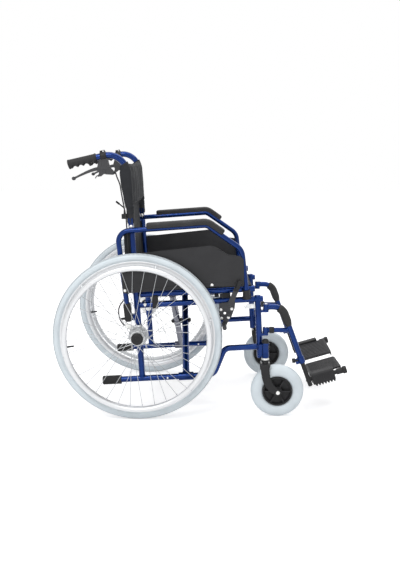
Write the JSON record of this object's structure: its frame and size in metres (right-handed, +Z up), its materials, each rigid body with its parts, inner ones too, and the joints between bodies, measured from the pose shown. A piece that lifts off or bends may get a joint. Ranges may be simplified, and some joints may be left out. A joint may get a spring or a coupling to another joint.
{
  "type": "folding wheelchair",
  "caption": "Folding self-propelled wheelchair with spoked rear wheels, front casters, flip-back armrests, swing-away legrests and a folding back.",
  "frame": {"origin": "on the floor, under the middle of the chair's overall length and width", "axes": "+X forwards, +Y to the sitter's left, +Z up"},
  "size_m": [1.077, 0.668, 0.9631],
  "materials": {
    "blue_paint": "gloss",
    "grey_paint": "satin",
    "silver_alloy": "satin",
    "chrome": "polished",
    "black_steel": "satin",
    "grey_tyre": "matte",
    "black_plastic": "satin",
    "dark_panel": "satin",
    "black_foam": "matte",
    "black_fabric": "woven"
  },
  "bodies": {
    "right_frame": {"right_side_frame": "blue_paint", "right_tip_plug": "black_plastic", "right_rear_axle": "black_plastic", "right_brake_plate": "black_steel", "right_armrest_socket": "black_plastic", "lower_back_upholstery": "black_fabric"},
    "left_frame": {"left_side_frame": "blue_paint", "left_tip_plug": "black_plastic", "left_rear_axle": "black_plastic", "left_brake_plate": "black_steel", "left_armrest_socket": "black_plastic"},
    "right_wheel": {"right_rear_tyre": "grey_tyre", "right_rear_wheel": "silver_alloy", "right_handrim": "silver_alloy"},
    "left_wheel": {"left_rear_tyre": "grey_tyre", "left_rear_wheel": "silver_alloy", "left_handrim": "silver_alloy"},
    "right_swivel": {"right_caster_fork": "black_plastic"},
    "left_swivel": {"left_caster_fork": "black_plastic"},
    "right_caster": {"right_caster_tyre": "grey_tyre", "right_caster_hub": "black_plastic"},
    "left_caster": {"left_caster_tyre": "grey_tyre", "left_caster_hub": "black_plastic"},
    "right_leg": {"right_hanger": "blue_paint", "right_calf_pad": "black_foam"},
    "left_leg": {"left_hanger": "blue_paint", "left_calf_pad": "black_foam"},
    "right_foot": {"right_foot_tube": "black_plastic"},
    "left_foot": {"left_foot_tube": "black_plastic"},
    "right_plate": {"right_footplate": "dark_panel"},
    "left_plate": {"left_footplate": "dark_panel"},
    "right_latch": {"right_legrest_latch": "chrome"},
    "left_latch": {"left_legrest_latch": "chrome"},
    "right_arm": {"right_armrest_tube": "blue_paint", "right_arm_pad": "black_foam", "right_side_guard": "dark_panel"},
    "left_arm": {"left_armrest_tube": "blue_paint", "left_arm_pad": "black_foam", "left_side_guard": "dark_panel"},
    "right_lever": {"right_brake_lever": "black_steel"},
    "left_lever": {"left_brake_lever": "black_steel"},
    "right_shoe": {"right_brake_shoe": "black_steel"},
    "left_shoe": {"left_brake_shoe": "black_steel"},
    "right_back": {"right_upper_cane": "blue_paint", "right_grip": "black_plastic", "right_lever_body": "black_plastic", "right_brake_cable": "black_plastic", "upper_back_upholstery": "black_fabric"},
    "left_back": {"left_upper_cane": "blue_paint", "left_grip": "black_plastic", "left_lever_body": "black_plastic", "left_brake_cable": "black_plastic"},
    "right_squeeze": {"right_hand_lever": "black_plastic"},
    "left_squeeze": {"left_hand_lever": "black_plastic"},
    "right_release": {"right_back_release": "black_plastic"},
    "left_release": {"left_back_release": "black_plastic"},
    "brace_a": {"cross_bar_a": "blue_paint", "cross_pivot": "black_plastic"},
    "brace_b": {"cross_bar_b": "grey_paint"},
    "seat": {"seat_sling": "black_fabric"}
  },
  "joints": [
    {"name": "fold", "type": "hinge", "parent": "right_frame", "child": "brace_a", "pos_m": [-0.06115, -0.2255, 0.14237], "axis": [0.9984, 0, 0.0558], "range_deg": [0, 42], "deforming": ["seat_sling", "upper_back_upholstery", "lower_back_upholstery"]},
    {"name": "brace_scissor", "type": "hinge", "parent": "brace_a", "child": "brace_b", "pos_m": [-0.08653, 0, 0.3007], "axis": [0.9984, 0, 0.0558], "range_deg": [-84, 0]},
    {"name": "left_frame_fold", "type": "hinge", "parent": "brace_b", "child": "left_frame", "pos_m": [-0.0941, 0.2255, 0.14053], "axis": [0.9984, 0, 0.0558], "range_deg": [0, 42]},
    {"name": "seat_lift", "type": "hinge", "parent": "brace_b", "child": "seat", "pos_m": [-0.11191, -0.2255, 0.45903], "axis": [0.9984, 0, 0.0558], "range_deg": [0, 42]},
    {"name": "right_back_fold", "type": "hinge", "parent": "right_frame", "child": "right_back", "pos_m": [-0.25555, -0.2255, 0.69938], "axis": [0, -1, 0], "range_deg": [0, 90], "deforming": ["right_brake_cable"]},
    {"name": "right_armrest_flip", "type": "hinge", "parent": "right_frame", "child": "right_arm", "pos_m": [-0.2675, -0.252, 0.369], "axis": [0, -1, 0], "range_deg": [0, 100]},
    {"name": "right_wheel_spin", "type": "hinge", "parent": "right_frame", "child": "right_wheel", "pos_m": [-0.2335, -0.2855, 0.305], "axis": [0, 1, 0], "continuous": true},
    {"name": "right_caster_swivel", "type": "hinge", "parent": "right_frame", "child": "right_swivel", "pos_m": [0.229, -0.25, 0.222], "axis": [0, 0, 1], "continuous": true},
    {"name": "right_caster_spin", "type": "hinge", "parent": "right_swivel", "child": "right_caster", "pos_m": [0.2745, -0.25, 0.0975], "axis": [0, 1, 0], "continuous": true},
    {"name": "right_brake_lever", "type": "hinge", "parent": "right_frame", "child": "right_lever", "pos_m": [0.0995, -0.2674, 0.424], "axis": [0, -1, 0], "range_deg": [0, 50]},
    {"name": "right_brake_shoe", "type": "hinge", "parent": "right_frame", "child": "right_shoe", "pos_m": [0.0945, -0.2674, 0.379], "axis": [0, -1, 0], "range_deg": [0, 25]},
    {"name": "right_legrest_swing", "type": "hinge", "parent": "right_frame", "child": "right_leg", "pos_m": [0.2305, -0.2255, 0.406], "axis": [0, 0, -1], "range_deg": [0, 90]},
    {"name": "right_legrest_height", "type": "slide", "parent": "right_leg", "child": "right_foot", "axis": [-0.3518, 0, 0.9361], "range_m": [-0.03, 0.05]},
    {"name": "right_footplate_flip", "type": "hinge", "parent": "right_foot", "child": "right_plate", "pos_m": [0.39439, -0.2135, 0.1256], "axis": [0.9588, 0, 0.284], "range_deg": [0, 95]},
    {"name": "right_legrest_latch", "type": "hinge", "parent": "right_frame", "child": "right_latch", "pos_m": [0.18, -0.2255, 0.4095], "axis": [0, -1, 0], "range_deg": [0, 25], "stiffness_Nm_per_rad": 0.2, "springref_deg": -17.19},
    {"name": "right_hand_brake", "type": "hinge", "parent": "right_back", "child": "right_squeeze", "pos_m": [-0.34525, -0.2255, 0.89347], "axis": [0, 1, 0], "range_deg": [0, 14], "stiffness_Nm_per_rad": 0.6, "springref_deg": -11.46},
    {"name": "right_back_release", "type": "hinge", "parent": "right_back", "child": "right_release", "pos_m": [-0.28155, -0.2255, 0.73498], "axis": [0, -1, 0], "range_deg": [0, 20], "stiffness_Nm_per_rad": 0.2, "springref_deg": -17.19},
    {"name": "left_back_fold", "type": "hinge", "parent": "left_frame", "child": "left_back", "pos_m": [-0.25555, 0.2255, 0.69938], "axis": [0, -1, 0], "range_deg": [0, 90], "deforming": ["left_brake_cable"]},
    {"name": "left_armrest_flip", "type": "hinge", "parent": "left_frame", "child": "left_arm", "pos_m": [-0.2675, 0.252, 0.369], "axis": [0, -1, 0], "range_deg": [0, 100]},
    {"name": "left_wheel_spin", "type": "hinge", "parent": "left_frame", "child": "left_wheel", "pos_m": [-0.2335, 0.2855, 0.305], "axis": [0, 1, 0], "continuous": true},
    {"name": "left_caster_swivel", "type": "hinge", "parent": "left_frame", "child": "left_swivel", "pos_m": [0.229, 0.25, 0.222], "axis": [0, 0, 1], "continuous": true},
    {"name": "left_caster_spin", "type": "hinge", "parent": "left_swivel", "child": "left_caster", "pos_m": [0.2745, 0.25, 0.0975], "axis": [0, 1, 0], "continuous": true},
    {"name": "left_brake_lever", "type": "hinge", "parent": "left_frame", "child": "left_lever", "pos_m": [0.0995, 0.2674, 0.424], "axis": [0, -1, 0], "range_deg": [0, 50]},
    {"name": "left_brake_shoe", "type": "hinge", "parent": "left_frame", "child": "left_shoe", "pos_m": [0.0945, 0.2674, 0.379], "axis": [0, -1, 0], "range_deg": [0, 25]},
    {"name": "left_legrest_swing", "type": "hinge", "parent": "left_frame", "child": "left_leg", "pos_m": [0.2305, 0.2255, 0.406], "axis": [0, 0, 1], "range_deg": [0, 90]},
    {"name": "left_legrest_height", "type": "slide", "parent": "left_leg", "child": "left_foot", "axis": [-0.3518, 0, 0.9361], "range_m": [-0.03, 0.05]},
    {"name": "left_footplate_flip", "type": "hinge", "parent": "left_foot", "child": "left_plate", "pos_m": [0.39439, 0.2135, 0.1256], "axis": [-0.9588, 0, -0.284], "range_deg": [0, 95]},
    {"name": "left_legrest_latch", "type": "hinge", "parent": "left_frame", "child": "left_latch", "pos_m": [0.18, 0.2255, 0.4095], "axis": [0, -1, 0], "range_deg": [0, 25], "stiffness_Nm_per_rad": 0.2, "springref_deg": -17.19},
    {"name": "left_hand_brake", "type": "hinge", "parent": "left_back", "child": "left_squeeze", "pos_m": [-0.34525, 0.2255, 0.89347], "axis": [0, 1, 0], "range_deg": [0, 14], "stiffness_Nm_per_rad": 0.6, "springref_deg": -11.46},
    {"name": "left_back_release", "type": "hinge", "parent": "left_back", "child": "left_release", "pos_m": [-0.28155, 0.2255, 0.73498], "axis": [0, -1, 0], "range_deg": [0, 20], "stiffness_Nm_per_rad": 0.2, "springref_deg": -17.19}
  ],
  "couplings": [
    {"joint": "brace_scissor", "follows": "fold", "ratio": -2},
    {"joint": "left_frame_fold", "follows": "fold", "ratio": 1},
    {"joint": "seat_lift", "follows": "fold", "ratio": 1},
    {"joint": "right_brake_shoe", "follows": "right_brake_lever", "ratio": 0.5},
    {"joint": "right_footplate_flip", "follows": "fold", "ratio": 2.25},
    {"joint": "left_brake_shoe", "follows": "left_brake_lever", "ratio": 0.5},
    {"joint": "left_footplate_flip", "follows": "fold", "ratio": 2.25},
    {"joint": "left_back_fold", "follows": "right_back_fold", "ratio": 1}
  ]
}
